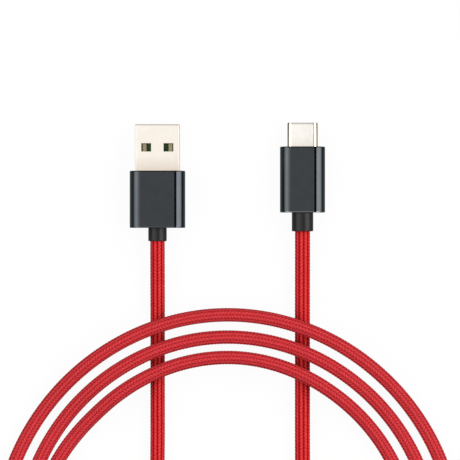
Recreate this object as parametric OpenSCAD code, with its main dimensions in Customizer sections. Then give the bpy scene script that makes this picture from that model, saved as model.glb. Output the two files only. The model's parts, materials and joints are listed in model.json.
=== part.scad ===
// Charging cable: a USB-A plug and a USB-C plug on one braided cord, laid out flat.
// The cord leaves the USB-A plug, winds three loose turns and comes back to the USB-C plug.
// +Z is up, +Y is the way both plugs push in, +X runs from the USB-A plug to the USB-C plug.
// The origin is on the table, under the middle of the two plugs.

/* [Layout] */
// Distance between the axes of the two plugs
plug_spacing = 39.2; // [30:0.1:60]
// Height of a plug's axis above the bottom of the USB-A housing
usb_a_axis_height = 3.75; // [3.5:0.05:5]
// Height of the USB-C plug's axis above the bottom of its housing
usb_c_axis_height = 3.2; // [3.0:0.05:5]

/* [USB-A plug] */
// Width of the aluminium housing
usb_a_housing_width = 15.0; // [14.6:0.1:17]
// Length of the aluminium housing
usb_a_housing_length = 15.4; // [15.4:0.1:22]
// Corner radius of the housing's section
usb_a_corner_radius = 3.1; // [2.5:0.1:3.4]
// Length of the shell in front of the housing
usb_a_shell_reach = 12.5; // [12.2:0.1:13.5]
// Length of the strain relief behind the housing
usb_a_collar_length = 3.6; // [2:0.1:10]
// Diameter of the strain relief behind the housing
usb_a_collar_diameter = 5.0; // [4.8:0.1:7]

/* [USB-C plug] */
// Width of the aluminium housing
usb_c_housing_width = 12.2; // [11.6:0.1:14]
// Length of the aluminium housing
usb_c_housing_length = 17.8; // [17.8:0.1:24]
// Corner radius of the housing's section
usb_c_corner_radius = 3.1; // [2.4:0.1:3.1]
// Length of the shell in front of the housing
usb_c_shell_reach = 6.45; // [6.2:0.05:7]
// Length of the strain relief behind the housing
usb_c_collar_length = 5.1; // [2:0.1:10]
// Diameter of the strain relief behind the housing
usb_c_collar_diameter = 5.8; // [4.8:0.1:6.2]

/* [Cord] */
// Diameter of the braided cord
cord_diameter = 3.8; // [3.6:0.1:3.8]
// Radius of the inner turn of the coil
coil_inner_radius = 49.8; // [48:0.1:50]
// Step from the inner turn to the middle turn
coil_first_step = 5.9; // [5.6:0.1:6]
// Step from the middle turn to the outer turn
coil_second_step = 6.0; // [6:0.1:7]
// How much the near side of the coil is pushed in
coil_flattening = 17; // [16:0.5:17]

/* [Hidden] */
$fn = 48;

// How far a cutting shape runs past the face that it cuts.
over = 1;
// Gap around a round piece in a round hole.
slip = 0.05;
// Gap between two moulded or pressed pieces that don't carry each other.
gap = 0.02;

cord_radius = cord_diameter / 2;
housing_wall = 0.7;
rear_wall = 1.0;
bezel_thickness = 0.9;
bezel_recess = 0.1;
mould_front = -1.0;
neck_radius = 2.2;
flange_thickness = 1.0;
crimp_length = 1.2;
crimp_wall = 0.4;
jacket_radius = cord_radius - slip;
shell_depth = 5;
board_front = -5.5;
wire_radius = 0.42;
bare_radius = 0.2;
core_offset = 0.5;

// Both plugs and the box that they fill are centred on the origin.
plugs_width = plug_spacing + usb_a_housing_width / 2 + usb_c_housing_width / 2;
usb_a_x = -plugs_width / 2 + usb_a_housing_width / 2;
usb_c_x = plugs_width / 2 - usb_c_housing_width / 2;
// The USB-A strain relief ends at the back of that box and the USB-C tip is at its front.
usb_c_lead = 0.5;
usb_a_total = usb_a_shell_reach + usb_a_housing_length + usb_a_collar_length;
plugs_depth = usb_a_total + usb_c_lead;
usb_a_front = plugs_depth / 2 - usb_c_lead - usb_a_shell_reach;
usb_c_front = plugs_depth / 2 - usb_c_shell_reach;
usb_a_exit = usb_a_front - usb_a_housing_length - usb_a_collar_length;
usb_c_exit = usb_c_front - usb_c_housing_length - usb_c_collar_length;

// USB-A sizes from the standard plug.
usb_a_shell_width = 12.0;
usb_a_shell_height = 4.5;
usb_a_shell_wall = 0.3;
usb_a_shell_corner = 0.6;
usb_a_window = [2.65, 2.25];
usb_a_window_x = 3.0;
usb_a_window_from_tip = 6.2;
usb_a_tongue_width = 10.8;
usb_a_tongue_setback = 0.5;
usb_a_inner_half = usb_a_shell_height / 2 - usb_a_shell_wall;
usb_a_contact_x = [3.5, 1.0, -1.0, -3.5];
usb_a_contact_width = 1.0;
usb_a_contact_thickness = 0.3;
usb_a_contact_proud = 0.05;
usb_a_contact_setback = [1.1, 2.1, 2.1, 1.1];
usb_a_contact_tail = -7.0;
usb_a_board_rear = -10.0;
usb_a_board_width = 11.0;
usb_a_board_thickness = 0.8;
usb_a_board_top = usb_a_contact_proud - usb_a_contact_thickness;
usb_a_holder_front = 1.6;
usb_a_pad_x = [2.7, 0.9, -0.9, -2.7];
usb_a_pad_y = -8.6;
usb_a_wire_height = 0.2;
usb_a_jacket_front = -usb_a_housing_length + rear_wall + flange_thickness + crimp_length;

// USB-C sizes from the standard plug.
usb_c_shell_width = 8.25;
usb_c_shell_height = 2.4;
usb_c_shell_wall = 0.2;
usb_c_inner_half = usb_c_shell_height / 2 - usb_c_shell_wall;
usb_c_side_x = (usb_c_shell_width - usb_c_shell_height) / 2;
usb_c_pitch = 0.5;
// Places along the row of twelve that a USB 2.0 cable fills.
usb_c_upper_places = [1, 4, 5, 6, 7, 9, 12];
usb_c_lower_places = [1, 4, 9, 12];
usb_c_contact_width = 0.25;
usb_c_contact_thickness = 0.12;
usb_c_strip_z = 0.5;
usb_c_touch_z = 0.25;
usb_c_spring_root = 0.62;
usb_c_root_gap = 0.05;
usb_c_tail_rear = -6.8;
usb_c_insulator_front = 6.15;
usb_c_insulator_rear = -1.5;
usb_c_rear_block_rear = -4.8;
usb_c_nose_front = 0.55;
usb_c_tongue_slot = [6.9, 0.9];
usb_c_contact_space = [5.9, 1.6];
usb_c_contact_space_front = 5.4;
usb_c_mid_plate_half = 3.6;
usb_c_plate_thickness = 0.2;
usb_c_latch_root = 0.5;
usb_c_latch_slot_height = 0.4;
usb_c_board_rear = -11.0;
usb_c_board_width = 8.4;
usb_c_board_half = 0.5;
usb_c_pad_x = [3.0, 1.0, -1.0, -3.0];
usb_c_pad_y = -10.0;
usb_c_wire_height = 0.95;
usb_c_jacket_front = -usb_c_housing_length + rear_wall + flange_thickness + crimp_length;

// The cord's route. Leads are lists of points, and the coil's turns come from a formula.
coil_center = [0.1, -97.7];
// The inner turn opens out a little on its way round the far side.
coil_right_swell = 0.4;
coil_left_swell = 1.3;
coil_waver = 0.2;
coil_start = -80;
coil_end = 960;
coil_step = 20;
inner_turn_end = 260;
middle_turn_end = 620;
// A turn lies this much higher where it passes over a lead.
cross_lift = cord_diameter + 0.2;
cross_height = cord_radius + cross_lift;

lead_a_route = [
    [usb_a_x, usb_a_exit, usb_a_axis_height],
    [usb_a_x, usb_a_exit - 4, usb_a_axis_height],
    [usb_a_x, -27, 2.9],
    [usb_a_x, -35, cord_radius],
    [usb_a_x, -67, cord_radius],
    [usb_a_x, -100, cord_radius],
    [-18, -107.5, cord_radius],
    [-16, -115, cord_radius],
    [-12, -121.5, cord_radius],
    [-6, -126.5, cord_radius],
    [1, -129.5, cord_radius]
];
lead_c_route = [
    [-24.5, -138.5, cross_height],
    [-17.5, -139.5, cross_height],
    [-10.5, -139.25, cross_height],
    [-4, -137.5, cross_height],
    [2, -134.5, cross_height],
    [7.5, -130.25, cross_height],
    [12, -125.25, cross_height],
    [15.5, -119.5, 5],
    [18, -113.5, 3.3],
    [19.75, -107, 2.2],
    [usb_c_x, -100, cord_radius],
    [usb_c_x, -67, cord_radius],
    [usb_c_x, -35, cord_radius],
    [usb_c_x, -26, 2.6],
    [usb_c_x, usb_c_exit - 4, usb_c_axis_height],
    [usb_c_x, usb_c_exit, usb_c_axis_height]
];

// 0 below a, 1 above b and a smooth rise between them.
function ramp(value, a, b) =
    let (t = min(max((value - a) / (b - a), 0), 1)) t * t * (3 - 2 * t);

// The far side of every turn swells in the middle and draws in at its two shoulders.
function shoulders(a) = (cos(4 * (a - 90)) - 0.25) * ramp(a, 5, 25) * (1 - ramp(a, 155, 175));

// Radius of the coil at an angle that goes on growing from turn to turn.
function coil_radius(angle) =
    coil_inner_radius
    + coil_right_swell * ramp(angle, 50, 90)
    + coil_left_swell * ramp(angle, 132, 164)
    + (coil_first_step - coil_right_swell - coil_left_swell) * ramp(angle, 190, 340)
    + coil_second_step * ramp(angle, 550, 700)
    + coil_waver * shoulders((angle + 360) % 360);

// 1 where a turn passes over the two leads, and again at the end over the other turns.
function coil_lift(angle) =
    let (a = (angle + 360) % 360)
    ramp(a, 30, 58) * (1 - ramp(a, 120, 148)) + ramp(angle, 900, 955);

function coil_point(angle) =
    let (
        r = coil_radius(angle),
        depth = sin(angle) > 0 ? r : r - coil_flattening
    )
    [
        coil_center.x + r * cos(angle),
        coil_center.y + depth * sin(angle),
        cord_radius + cross_lift * coil_lift(angle)
    ];

coil_route = [for (angle = [coil_start : coil_step : coil_end]) coil_point(angle)];
cord_route = concat(lead_a_route, coil_route, lead_c_route);
coil_first = len(lead_a_route);
inner_last = coil_first + (inner_turn_end - coil_start) / coil_step;
middle_last = coil_first + (middle_turn_end - coil_start) / coil_step;
outer_last = coil_first + (coil_end - coil_start) / coil_step;
route_last = len(cord_route) - 1;

cord_sides = 8;
wire_sides = 12;

// Direction of a route at a point, from its two neighbours.
function route_direction(route, i) =
    let (
        before = route[max(i - 1, 0)],
        after = route[min(i + 1, len(route) - 1)]
    )
    (after - before) / norm(after - before);

// One ring of a tube, square to its route.
function tube_ring(route, i, radius, count) =
    let (
        along = route_direction(route, i),
        side = cross(along, [0, 0, 1]) / norm(cross(along, [0, 0, 1])),
        up = cross(side, along)
    )
    [
        for (k = [0 : count - 1])
            let (a = 360 * k / count)
            route[i] + radius * (cos(a) * side + sin(a) * up)
    ];

// Closed tube along a route, from one of its points to another.
module tube(route, first, last, radius, count) {
    rings = last - first + 1;
    points = [for (i = [first : last]) each tube_ring(route, i, radius, count)];
    sides = [
        for (r = [0 : rings - 2], k = [0 : count - 1])
            let (next = (k + 1) % count)
            [
                r * count + k, r * count + next,
                (r + 1) * count + next, (r + 1) * count + k
            ]
    ];
    start_cap = [[for (k = [count - 1 : -1 : 0]) k]];
    end_cap = [[for (k = [0 : count - 1]) (rings - 1) * count + k]];
    polyhedron(points, concat(sides, start_cap, end_cap));
}

module cord_tube(first, last) {
    tube(cord_route, first, last, cord_radius, cord_sides);
}

module at_usb_a() {
    translate([usb_a_x, usb_a_front, usb_a_axis_height]) children();
}

module at_usb_c() {
    translate([usb_c_x, usb_c_front, usb_c_axis_height]) children();
}

// Section drawn in X and Z, pushed out along Y between two places.
module along_y(from, to) {
    translate([0, to, 0]) rotate([90, 0, 0]) linear_extrude(to - from) children();
}

// Profile drawn in Y and Z, pushed out along X about x.
module across_x(x, width) {
    translate([x - width / 2, 0, 0]) rotate([90, 0, 90]) linear_extrude(width) children();
}

// Profile drawn in X and Y, pushed out along Z about the middle height.
module across_z(height) {
    translate([0, 0, -height / 2]) linear_extrude(height) children();
}

module block(x, y, z) {
    translate([x[0], y[0], z[0]]) cube([x[1] - x[0], y[1] - y[0], z[1] - z[0]]);
}

module rounded_section(width, height, radius) {
    square([width - 2 * radius, height], center = true);
    square([width, height - 2 * radius], center = true);
    for (x = [-1, 1], z = [-1, 1])
        translate([x * (width / 2 - radius), z * (height / 2 - radius)]) circle(radius);
}

module oval_section(width, height) {
    square([width - height, height], center = true);
    for (x = [-1, 1]) translate([x * (width - height) / 2, 0]) circle(height / 2);
}

// Section of a plastic block pressed between the flats of the USB-C shell.
module usb_c_block_section() {
    square([2 * usb_c_side_x, 2 * usb_c_inner_half], center = true);
    for (x = [-1, 1]) translate([x * usb_c_side_x, 0]) circle(usb_c_inner_half - gap);
}

module rod(from, to, radius) {
    reach = to - from;
    translate(from)
        rotate([0, acos(reach.z / norm(reach)), atan2(reach.y, reach.x)])
            cylinder(h = norm(reach), r = radius);
}

// Half ball of solder standing on a board.
module solder_dome(x, y, board_z, radius) {
    intersection() {
        translate([x, y, board_z]) sphere(radius);
        block([x - radius, x + radius], [y - radius, y + radius], [board_z, board_z + radius]);
    }
}

// Insulated wire from a core of the cord to a pad.
module wire_insulation(core, pad_x, jacket_y, pad_y, height) {
    from = [core.x, jacket_y, core.y];
    end = [pad_x, pad_y - 0.8, height];
    straight = [0, 0.7, 0];
    route = [from, from + straight, end - straight, end];
    tube(route, 0, len(route) - 1, wire_radius, wire_sides);
}

module wire_bare_end(pad_x, pad_y, height) {
    rod([pad_x, pad_y - 1.1, height], [pad_x, pad_y + 0.3, height], bare_radius);
}

// Places of the four cores in the end of the jacket, in the order of the pads.
core_places = [
    [core_offset, core_offset], [core_offset, -core_offset],
    [-core_offset, -core_offset], [-core_offset, core_offset]
];

module usb_a_wire(i) {
    at_usb_a() {
        wire_insulation(
            core_places[i], usb_a_pad_x[i], usb_a_jacket_front, usb_a_pad_y, usb_a_wire_height
        );
        wire_bare_end(usb_a_pad_x[i], usb_a_pad_y, usb_a_wire_height);
    }
}

module usb_c_wire(i) {
    at_usb_c() {
        wire_insulation(
            core_places[i], usb_c_pad_x[i], usb_c_jacket_front, usb_c_pad_y, usb_c_wire_height
        );
        wire_bare_end(usb_c_pad_x[i], usb_c_pad_y, usb_c_wire_height);
    }
}

// Aluminium tube with a closed back that the strain relief comes through.
module plug_housing(width, height, length, corner) {
    difference() {
        along_y(-length, 0) rounded_section(width, height, corner);
        along_y(-length + rear_wall, over)
            rounded_section(
                width - 2 * housing_wall, height - 2 * housing_wall, corner - housing_wall
            );
        rod([0, -length - over, 0], [0, 0, 0], neck_radius + slip);
    }
}

// Strain relief: outer sleeve, neck through the back of the housing and flange inside it.
module plug_collar(housing_length, length, radius, flange_radius) {
    wall_front = -housing_length + rear_wall;
    difference() {
        union() {
            rod([0, -housing_length - length, 0], [0, -housing_length, 0], radius);
            rod([0, -housing_length - slip, 0], [0, wall_front + slip, 0], neck_radius);
            rod([0, wall_front, 0], [0, wall_front + flange_thickness, 0], flange_radius);
        }
        rod([0, -housing_length - length - over, 0], [0, 0, 0], cord_radius);
    }
}

module crimp_ring(jacket_front) {
    difference() {
        rod([0, jacket_front - crimp_length, 0], [0, jacket_front, 0], cord_radius + crimp_wall);
        rod([0, jacket_front - 2 * crimp_length, 0], [0, over, 0], cord_radius);
    }
}

// Plastic body between the housing and the pieces inside it, hollow around the board and wires.
module inner_mould(width, height, corner, jacket_front, hollow) {
    difference() {
        along_y(jacket_front - crimp_length, mould_front) rounded_section(width, height, corner);
        along_y(board_front - 0.1, 0) children();
        along_y(jacket_front, board_front) square(hollow, center = true);
        rod(
            [0, jacket_front - crimp_length - over, 0], [0, jacket_front + over, 0],
            cord_radius + crimp_wall + slip
        );
    }
}

module usb_a_shell() {
    color("palegoldenrod") at_usb_a() difference() {
        along_y(-shell_depth, usb_a_shell_reach) difference() {
            rounded_section(usb_a_shell_width, usb_a_shell_height, usb_a_shell_corner);
            rounded_section(
                usb_a_shell_width - 2 * usb_a_shell_wall,
                usb_a_shell_height - 2 * usb_a_shell_wall,
                usb_a_shell_corner - usb_a_shell_wall
            );
        }
        for (x = [-usb_a_window_x, usb_a_window_x])
            translate([x, usb_a_shell_reach - usb_a_window_from_tip, 0])
                cube([usb_a_window.x, usb_a_window.y, usb_a_shell_height + over], center = true);
    }
}

module usb_a_tongue() {
    half = usb_a_tongue_width / 2;
    color("darkgreen") at_usb_a() difference() {
        block(
            [-half, half], [board_front, usb_a_shell_reach - usb_a_tongue_setback],
            [-usb_a_inner_half, 0]
        );
        for (i = [0 : 3])
            block(
                [usb_a_contact_x[i] - usb_a_contact_width / 2 - gap,
                 usb_a_contact_x[i] + usb_a_contact_width / 2 + gap],
                [board_front - over, usb_a_shell_reach - usb_a_contact_setback[i] + gap],
                [usb_a_board_top, over]
            );
    }
}

module usb_a_contact(i) {
    front = usb_a_shell_reach - usb_a_contact_setback[i];
    top = usb_a_contact_proud;
    across_x(usb_a_contact_x[i], usb_a_contact_width)
        polygon([
            [usb_a_contact_tail, usb_a_board_top], [front, usb_a_board_top],
            [front, usb_a_board_top + 0.1], [front - 0.5, top], [usb_a_contact_tail, top]
        ]);
}

module usb_a_contacts() {
    color("gold") at_usb_a() for (i = [0 : 3]) usb_a_contact(i);
}

module usb_a_terminal_holder() {
    half = usb_a_tongue_width / 2;
    color("darkgreen") at_usb_a()
        block(
            [-half, half], [board_front, usb_a_holder_front], [usb_a_contact_proud, usb_a_inner_half]
        );
}

module usb_a_circuit_board() {
    half = usb_a_board_width / 2;
    color("seagreen") at_usb_a()
        block(
            [-half, half], [usb_a_board_rear, board_front],
            [usb_a_board_top - usb_a_board_thickness, usb_a_board_top]
        );
}

module usb_a_solder_joints() {
    wire_solder = 0.6;
    tail_solder = 0.5;
    color("silver") at_usb_a() for (i = [0 : 3]) {
        difference() {
            solder_dome(usb_a_pad_x[i], usb_a_pad_y, usb_a_board_top, wire_solder);
            wire_bare_end(usb_a_pad_x[i], usb_a_pad_y, usb_a_wire_height);
        }
        difference() {
            solder_dome(usb_a_contact_x[i], usb_a_contact_tail, usb_a_board_top, tail_solder);
            usb_a_contact(i);
        }
    }
}

module usb_a_wire_red() { color("red") usb_a_wire(0); }
module usb_a_wire_white() { color("white") usb_a_wire(1); }
module usb_a_wire_green() { color("green") usb_a_wire(2); }
module usb_a_wire_black() { color("black") usb_a_wire(3); }

module usb_a_inner_mould() {
    width = usb_a_housing_width - 2 * housing_wall;
    height = 2 * (usb_a_axis_height - housing_wall);
    color("dimgray") at_usb_a()
        inner_mould(
            width - 0.1, height - 0.1, usb_a_corner_radius - housing_wall,
            usb_a_jacket_front, [11.4, 3.4]
        )
            square([usb_a_shell_width + 2 * gap, usb_a_shell_height + 2 * gap], center = true);
}

module usb_a_housing() {
    color("dimgray") at_usb_a()
        plug_housing(
            usb_a_housing_width, 2 * usb_a_axis_height, usb_a_housing_length, usb_a_corner_radius
        );
}

module usb_a_front_bezel() {
    width = usb_a_housing_width - 2 * housing_wall - 2 * gap;
    height = 2 * (usb_a_axis_height - housing_wall - gap);
    color("black") at_usb_a()
        along_y(-bezel_recess - bezel_thickness, -bezel_recess) difference() {
            rounded_section(width, height, usb_a_corner_radius - housing_wall);
            rounded_section(
                usb_a_shell_width + 2 * gap, usb_a_shell_height + 2 * gap, usb_a_shell_corner
            );
        }
}

module usb_a_crimp_ring() {
    color("silver") at_usb_a() crimp_ring(usb_a_jacket_front);
}

module usb_a_collar() {
    flange_radius = usb_a_axis_height - housing_wall - 0.1;
    color("darkslategray") at_usb_a()
        plug_collar(
            usb_a_housing_length, usb_a_collar_length, usb_a_collar_diameter / 2, flange_radius
        );
}

module usb_a_jacket_end() {
    color("black") at_usb_a()
        rod(
            [0, -usb_a_housing_length - usb_a_collar_length, 0], [0, usb_a_jacket_front, 0],
            jacket_radius
        );
}

module usb_c_shell() {
    color("palegoldenrod") at_usb_c()
        along_y(-shell_depth, usb_c_shell_reach) difference() {
            oval_section(usb_c_shell_width, usb_c_shell_height);
            oval_section(
                usb_c_shell_width - 2 * usb_c_shell_wall, usb_c_shell_height - 2 * usb_c_shell_wall
            );
        }
}

module usb_c_front_insulator() {
    ground_window = [2.65, 3.5, 5.6];
    tongue_slot_rear = 1.2;
    latch_slot_front = 5.2;
    color("black") at_usb_c() difference() {
        along_y(usb_c_insulator_rear, usb_c_insulator_front) usb_c_block_section();
        along_y(tongue_slot_rear, usb_c_insulator_front + over)
            square(usb_c_tongue_slot, center = true);
        along_y(usb_c_insulator_rear - over, usb_c_contact_space_front)
            square(usb_c_contact_space, center = true);
        along_y(usb_c_insulator_rear - over, latch_slot_front)
            square([usb_c_shell_width, usb_c_latch_slot_height], center = true);
        for (side = [0, 1]) mirror([0, 0, side])
            block(
                [-ground_window[0], ground_window[0]], [ground_window[1], ground_window[2]],
                [usb_c_contact_space.y / 2 - gap, usb_c_inner_half + over]
            );
    }
}

function usb_c_place_x(place) = (place - 6.5) * usb_c_pitch;

// Sprung front part of a contact, from its root to the flared tip.
module usb_c_contact_spring() {
    touch = [4.4, 4.7];
    tip = 5.2;
    flare = 0.17;
    t = usb_c_contact_thickness;
    polygon([
        [usb_c_spring_root, usb_c_strip_z], [touch[0], usb_c_touch_z], [touch[1], usb_c_touch_z],
        [tip, usb_c_touch_z + flare], [tip, usb_c_touch_z + flare + t], [touch[1], usb_c_touch_z + t],
        [touch[0], usb_c_touch_z + t], [usb_c_spring_root, usb_c_strip_z + t]
    ]);
}

// Fixed back part of a contact, out to the board.
module usb_c_contact_tail(x) {
    block(
        [x - usb_c_contact_width / 2, x + usb_c_contact_width / 2],
        [usb_c_tail_rear, usb_c_spring_root - usb_c_root_gap],
        [usb_c_strip_z, usb_c_strip_z + usb_c_contact_thickness]
    );
}

module usb_c_contact_springs_upper() {
    color("gold") at_usb_c() for (place = usb_c_upper_places)
        across_x(usb_c_place_x(place), usb_c_contact_width) usb_c_contact_spring();
}

module usb_c_contact_springs_lower() {
    color("gold") at_usb_c() mirror([0, 0, 1]) for (place = usb_c_lower_places)
        across_x(usb_c_place_x(place), usb_c_contact_width) usb_c_contact_spring();
}

module usb_c_contact_tails_upper() {
    color("gold") at_usb_c()
        for (place = usb_c_upper_places) usb_c_contact_tail(usb_c_place_x(place));
}

module usb_c_contact_tails_lower() {
    color("gold") at_usb_c() mirror([0, 0, 1])
        for (place = usb_c_lower_places) usb_c_contact_tail(usb_c_place_x(place));
}

// Side latch: a straight arm with a hook that grips the notch in the socket's tongue.
module usb_c_latch() {
    arm = [3.40, 3.62];
    hook_x = 3.2;
    color("silver") at_usb_c() across_z(usb_c_plate_thickness)
        polygon([
            [arm[0], usb_c_latch_root], [arm[0], 3.9], [hook_x, 4.3], [hook_x, 4.6],
            [arm[0], 4.9], [arm[1], 4.9], [arm[1], usb_c_latch_root]
        ]);
}

module usb_c_latch_right() { usb_c_latch(); }

module usb_c_latch_left() {
    translate([2 * usb_c_x, 0, 0]) mirror([1, 0, 0]) usb_c_latch();
}

module usb_c_mid_plate() {
    half = usb_c_mid_plate_half;
    color("silver") at_usb_c()
        block(
            [-half, half], [board_front + 0.1, usb_c_latch_root - usb_c_root_gap],
            [-usb_c_plate_thickness / 2, usb_c_plate_thickness / 2]
        );
}

// Ground spring: a plate under the shell with two fingers that press on the socket's tongue.
module usb_c_ground_spring() {
    plate_half = 2.55;
    plate_y = [3.6, 5.5];
    plate_z = [0.82, 0.90];
    finger_x = 2.0;
    finger_width = 0.5;
    color("silver") {
        difference() {
            block([-plate_half, plate_half], plate_y, plate_z);
            for (x = [-finger_x, finger_x])
                block([x - 0.35, x + 0.35], [4.2, 5.3], [0, over]);
        }
        for (x = [-finger_x, finger_x]) across_x(x, finger_width)
            polygon([
                [4.1, plate_z[0]], [4.9, 0.32], [5.05, 0.32], [5.2, 0.40], [5.2, 0.48],
                [5.05, 0.40], [4.95, 0.40], [4.2, plate_z[1]], [4.1, plate_z[1]]
            ]);
    }
}

module usb_c_ground_spring_upper() { at_usb_c() usb_c_ground_spring(); }
module usb_c_ground_spring_lower() { at_usb_c() mirror([0, 0, 1]) usb_c_ground_spring(); }

module usb_c_rear_insulator() {
    nose_half = [2.9, 0.78];
    color("black") at_usb_c() difference() {
        union() {
            along_y(usb_c_rear_block_rear, usb_c_insulator_rear) usb_c_block_section();
            along_y(usb_c_rear_block_rear, usb_c_nose_front) square(2 * nose_half, center = true);
        }
        block(
            [-usb_c_mid_plate_half - gap, usb_c_mid_plate_half + gap],
            [board_front, usb_c_nose_front + over],
            [-usb_c_plate_thickness / 2, usb_c_plate_thickness / 2]
        );
        for (place = usb_c_upper_places) usb_c_contact_tail(usb_c_place_x(place));
        mirror([0, 0, 1])
            for (place = usb_c_lower_places) usb_c_contact_tail(usb_c_place_x(place));
    }
}

module usb_c_circuit_board() {
    half = usb_c_board_width / 2;
    color("seagreen") at_usb_c()
        block(
            [-half, half], [usb_c_board_rear, board_front], [-usb_c_board_half, usb_c_board_half]
        );
}

module usb_c_resistor() {
    at = [2.9, -7.8];
    color("black") at_usb_c()
        block(
            [at.x - 0.5, at.x + 0.5], [at.y - 0.25, at.y + 0.25],
            [usb_c_board_half, usb_c_board_half + 0.35]
        );
}

module usb_c_solder_joints() {
    wire_solder = 0.75;
    tail_solder = 0.2;
    color("silver") at_usb_c() {
        for (i = [0 : 3]) difference() {
            solder_dome(usb_c_pad_x[i], usb_c_pad_y, usb_c_board_half, wire_solder);
            wire_bare_end(usb_c_pad_x[i], usb_c_pad_y, usb_c_wire_height);
        }
        for (place = usb_c_upper_places) difference() {
            solder_dome(usb_c_place_x(place), usb_c_tail_rear, usb_c_board_half, tail_solder);
            usb_c_contact_tail(usb_c_place_x(place));
        }
        mirror([0, 0, 1]) for (place = usb_c_lower_places) difference() {
            solder_dome(usb_c_place_x(place), usb_c_tail_rear, usb_c_board_half, tail_solder);
            usb_c_contact_tail(usb_c_place_x(place));
        }
    }
}

module usb_c_wire_red() { color("red") usb_c_wire(0); }
module usb_c_wire_white() { color("white") usb_c_wire(1); }
module usb_c_wire_green() { color("green") usb_c_wire(2); }
module usb_c_wire_black() { color("black") usb_c_wire(3); }

module usb_c_inner_mould() {
    width = usb_c_housing_width - 2 * housing_wall;
    height = 2 * (usb_c_axis_height - housing_wall);
    color("dimgray") at_usb_c()
        inner_mould(
            width - 0.1, height - 0.1, usb_c_corner_radius - housing_wall,
            usb_c_jacket_front, [9.0, 3.4]
        )
            oval_section(usb_c_shell_width + 2 * gap, usb_c_shell_height + 2 * gap);
}

module usb_c_housing() {
    color("dimgray") at_usb_c()
        plug_housing(
            usb_c_housing_width, 2 * usb_c_axis_height, usb_c_housing_length, usb_c_corner_radius
        );
}

module usb_c_front_bezel() {
    width = usb_c_housing_width - 2 * housing_wall - 2 * gap;
    height = 2 * (usb_c_axis_height - housing_wall - gap);
    color("black") at_usb_c()
        along_y(-bezel_recess - bezel_thickness, -bezel_recess) difference() {
            rounded_section(width, height, usb_c_corner_radius - housing_wall);
            oval_section(usb_c_shell_width + 2 * gap, usb_c_shell_height + 2 * gap);
        }
}

module usb_c_crimp_ring() {
    color("silver") at_usb_c() crimp_ring(usb_c_jacket_front);
}

module usb_c_collar() {
    flange_radius = usb_c_axis_height - housing_wall - 0.1;
    color("darkslategray") at_usb_c()
        plug_collar(
            usb_c_housing_length, usb_c_collar_length, usb_c_collar_diameter / 2, flange_radius
        );
}

module usb_c_jacket_end() {
    color("black") at_usb_c()
        rod(
            [0, -usb_c_housing_length - usb_c_collar_length, 0], [0, usb_c_jacket_front, 0],
            jacket_radius
        );
}

module cord_lead_usb_a() { color("crimson") cord_tube(0, coil_first); }
module cord_turn_inner() { color("crimson") cord_tube(coil_first, inner_last); }
module cord_turn_middle() { color("crimson") cord_tube(inner_last, middle_last); }
module cord_turn_outer() { color("crimson") cord_tube(middle_last, outer_last); }
module cord_lead_usb_c() { color("crimson") cord_tube(outer_last, route_last); }

usb_a_shell();
usb_a_tongue();
usb_a_contacts();
usb_a_terminal_holder();
usb_a_circuit_board();
usb_a_solder_joints();
usb_a_wire_red();
usb_a_wire_white();
usb_a_wire_green();
usb_a_wire_black();
usb_a_inner_mould();
usb_a_housing();
usb_a_front_bezel();
usb_a_crimp_ring();
usb_a_collar();
usb_a_jacket_end();
usb_c_shell();
usb_c_front_insulator();
usb_c_contact_springs_upper();
usb_c_contact_springs_lower();
usb_c_contact_tails_upper();
usb_c_contact_tails_lower();
usb_c_latch_left();
usb_c_latch_right();
usb_c_mid_plate();
usb_c_ground_spring_upper();
usb_c_ground_spring_lower();
usb_c_rear_insulator();
usb_c_circuit_board();
usb_c_resistor();
usb_c_solder_joints();
usb_c_wire_red();
usb_c_wire_white();
usb_c_wire_green();
usb_c_wire_black();
usb_c_inner_mould();
usb_c_housing();
usb_c_front_bezel();
usb_c_crimp_ring();
usb_c_collar();
usb_c_jacket_end();
cord_lead_usb_a();
cord_turn_inner();
cord_turn_middle();
cord_turn_outer();
cord_lead_usb_c();
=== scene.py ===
"""Charging cable: braided cord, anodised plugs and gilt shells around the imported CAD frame."""
import json
import math

import bmesh
import bpy
import numpy as np
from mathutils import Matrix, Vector

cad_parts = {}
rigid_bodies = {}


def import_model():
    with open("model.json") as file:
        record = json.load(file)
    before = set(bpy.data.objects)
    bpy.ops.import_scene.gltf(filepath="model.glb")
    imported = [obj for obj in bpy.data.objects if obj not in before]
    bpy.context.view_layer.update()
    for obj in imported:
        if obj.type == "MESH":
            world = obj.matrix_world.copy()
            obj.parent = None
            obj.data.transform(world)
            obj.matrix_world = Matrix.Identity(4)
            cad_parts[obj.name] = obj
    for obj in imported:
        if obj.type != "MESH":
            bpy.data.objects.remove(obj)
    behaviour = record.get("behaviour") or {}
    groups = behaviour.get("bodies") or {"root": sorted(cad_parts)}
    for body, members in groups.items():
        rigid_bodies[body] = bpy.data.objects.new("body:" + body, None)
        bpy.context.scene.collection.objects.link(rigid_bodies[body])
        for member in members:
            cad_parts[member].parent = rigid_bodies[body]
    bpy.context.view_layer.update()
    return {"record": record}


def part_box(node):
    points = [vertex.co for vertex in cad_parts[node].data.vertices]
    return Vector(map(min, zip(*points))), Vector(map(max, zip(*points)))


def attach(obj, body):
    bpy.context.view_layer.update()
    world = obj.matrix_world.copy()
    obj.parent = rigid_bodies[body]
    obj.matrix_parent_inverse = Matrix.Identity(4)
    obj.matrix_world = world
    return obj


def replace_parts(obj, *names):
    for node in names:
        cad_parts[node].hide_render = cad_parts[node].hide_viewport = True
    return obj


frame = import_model()

MM = 0.001
ROOT = "root"


def box_mm(node):
    """Lowest and highest corners of a CAD node, in millimetres."""
    low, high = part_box(node)
    return [v / MM for v in low], [v / MM for v in high]


def middle(low, high, axis):
    return (low[axis] + high[axis]) / 2


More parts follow.
